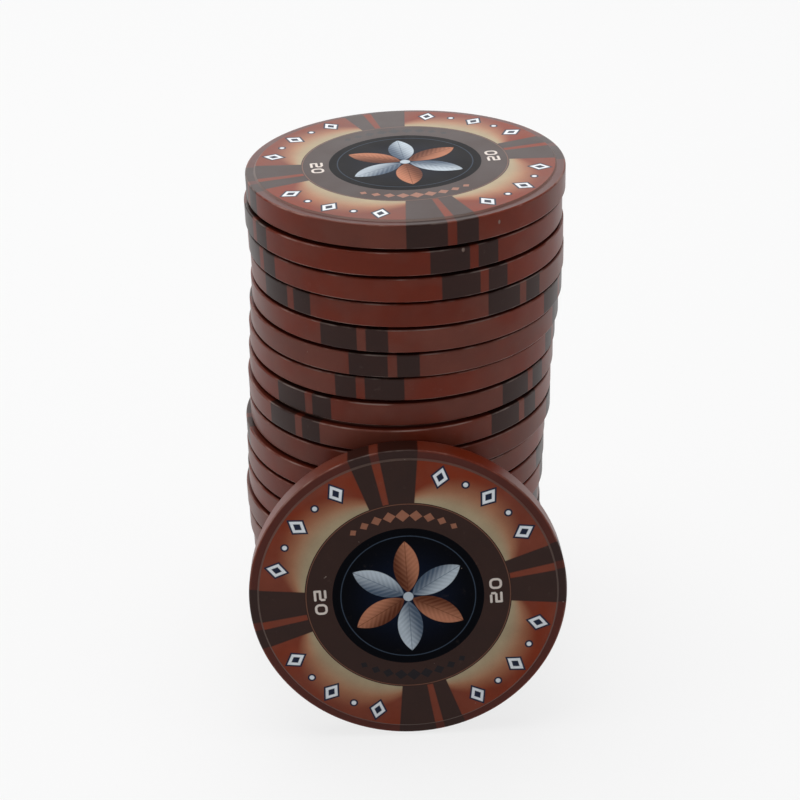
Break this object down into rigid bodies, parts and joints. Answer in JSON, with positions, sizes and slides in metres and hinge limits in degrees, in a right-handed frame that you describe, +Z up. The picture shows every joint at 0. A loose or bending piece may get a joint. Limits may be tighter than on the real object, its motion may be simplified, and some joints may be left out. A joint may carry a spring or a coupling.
{
  "type": "stack of gaming chips",
  "caption": "Stack of loose round gaming chips with striped rims and printed faces, with a further chip leaning against its front.",
  "frame": {"origin": "centre of the bottom chip's underside", "axes": "+Z up along the stack, -Y to the front, where the further chip leans, +X to the right seen from the front"},
  "size_m": [0.0419, 0.0469, 0.067],
  "materials": {
    "printed_ceramic": "satin, dye-printed all over in copper, dark brown, black and cream"
  },
  "bodies": {
    "stack_chip_01": {"stack_chip_01": "printed_ceramic"},
    "stack_chip_02": {"stack_chip_02": "printed_ceramic"},
    "stack_chip_03": {"stack_chip_03": "printed_ceramic"},
    "stack_chip_04": {"stack_chip_04": "printed_ceramic"},
    "stack_chip_05": {"stack_chip_05": "printed_ceramic"},
    "stack_chip_06": {"stack_chip_06": "printed_ceramic"},
    "stack_chip_07": {"stack_chip_07": "printed_ceramic"},
    "stack_chip_08": {"stack_chip_08": "printed_ceramic"},
    "stack_chip_09": {"stack_chip_09": "printed_ceramic"},
    "stack_chip_10": {"stack_chip_10": "printed_ceramic"},
    "stack_chip_11": {"stack_chip_11": "printed_ceramic"},
    "stack_chip_12": {"stack_chip_12": "printed_ceramic"},
    "stack_chip_13": {"stack_chip_13": "printed_ceramic"},
    "stack_chip_14": {"stack_chip_14": "printed_ceramic"},
    "stack_chip_15": {"stack_chip_15": "printed_ceramic"},
    "stack_chip_16": {"stack_chip_16": "printed_ceramic"},
    "stack_chip_17": {"stack_chip_17": "printed_ceramic"},
    "stack_chip_18": {"stack_chip_18": "printed_ceramic"},
    "stack_chip_19": {"stack_chip_19": "printed_ceramic"},
    "stack_chip_20": {"stack_chip_20": "printed_ceramic"},
    "leaning_chip": {"leaning_chip": "printed_ceramic"}
  },
  "joints": [
    {"name": "stack_chip_02_lift", "type": "slide", "parent": "stack_chip_01", "child": "stack_chip_02", "axis": [0, 0, 1], "range_m": [0, 0.012]},
    {"name": "stack_chip_03_lift", "type": "slide", "parent": "stack_chip_02", "child": "stack_chip_03", "axis": [0, 0, 1], "range_m": [0, 0.012]},
    {"name": "stack_chip_04_lift", "type": "slide", "parent": "stack_chip_03", "child": "stack_chip_04", "axis": [0, 0, 1], "range_m": [0, 0.012]},
    {"name": "stack_chip_05_lift", "type": "slide", "parent": "stack_chip_04", "child": "stack_chip_05", "axis": [0, 0, 1], "range_m": [0, 0.012]},
    {"name": "stack_chip_06_lift", "type": "slide", "parent": "stack_chip_05", "child": "stack_chip_06", "axis": [0, 0, 1], "range_m": [0, 0.012]},
    {"name": "stack_chip_07_lift", "type": "slide", "parent": "stack_chip_06", "child": "stack_chip_07", "axis": [0, 0, 1], "range_m": [0, 0.012]},
    {"name": "stack_chip_08_lift", "type": "slide", "parent": "stack_chip_07", "child": "stack_chip_08", "axis": [0, 0, 1], "range_m": [0, 0.012]},
    {"name": "stack_chip_09_lift", "type": "slide", "parent": "stack_chip_08", "child": "stack_chip_09", "axis": [0, 0, 1], "range_m": [0, 0.012]},
    {"name": "stack_chip_10_lift", "type": "slide", "parent": "stack_chip_09", "child": "stack_chip_10", "axis": [0, 0, 1], "range_m": [0, 0.012]},
    {"name": "stack_chip_11_lift", "type": "slide", "parent": "stack_chip_10", "child": "stack_chip_11", "axis": [0, 0, 1], "range_m": [0, 0.012]},
    {"name": "stack_chip_12_lift", "type": "slide", "parent": "stack_chip_11", "child": "stack_chip_12", "axis": [0, 0, 1], "range_m": [0, 0.012]},
    {"name": "stack_chip_13_lift", "type": "slide", "parent": "stack_chip_12", "child": "stack_chip_13", "axis": [0, 0, 1], "range_m": [0, 0.012]},
    {"name": "stack_chip_14_lift", "type": "slide", "parent": "stack_chip_13", "child": "stack_chip_14", "axis": [0, 0, 1], "range_m": [0, 0.012]},
    {"name": "stack_chip_15_lift", "type": "slide", "parent": "stack_chip_14", "child": "stack_chip_15", "axis": [0, 0, 1], "range_m": [0, 0.012]},
    {"name": "stack_chip_16_lift", "type": "slide", "parent": "stack_chip_15", "child": "stack_chip_16", "axis": [0, 0, 1], "range_m": [0, 0.012]},
    {"name": "stack_chip_17_lift", "type": "slide", "parent": "stack_chip_16", "child": "stack_chip_17", "axis": [0, 0, 1], "range_m": [0, 0.012]},
    {"name": "stack_chip_18_lift", "type": "slide", "parent": "stack_chip_17", "child": "stack_chip_18", "axis": [0, 0, 1], "range_m": [0, 0.012]},
    {"name": "stack_chip_19_lift", "type": "slide", "parent": "stack_chip_18", "child": "stack_chip_19", "axis": [0, 0, 1], "range_m": [0, 0.012]},
    {"name": "stack_chip_20_lift", "type": "slide", "parent": "stack_chip_19", "child": "stack_chip_20", "axis": [0, 0, 1], "range_m": [0, 0.012]},
    {"name": "leaning_chip_tip", "type": "hinge", "parent": "stack_chip_01", "child": "leaning_chip", "pos_m": [0.00161, -0.02404, 0.00025], "axis": [0.9997, 0.0262, 0], "range_deg": [0, 6]}
  ]
}
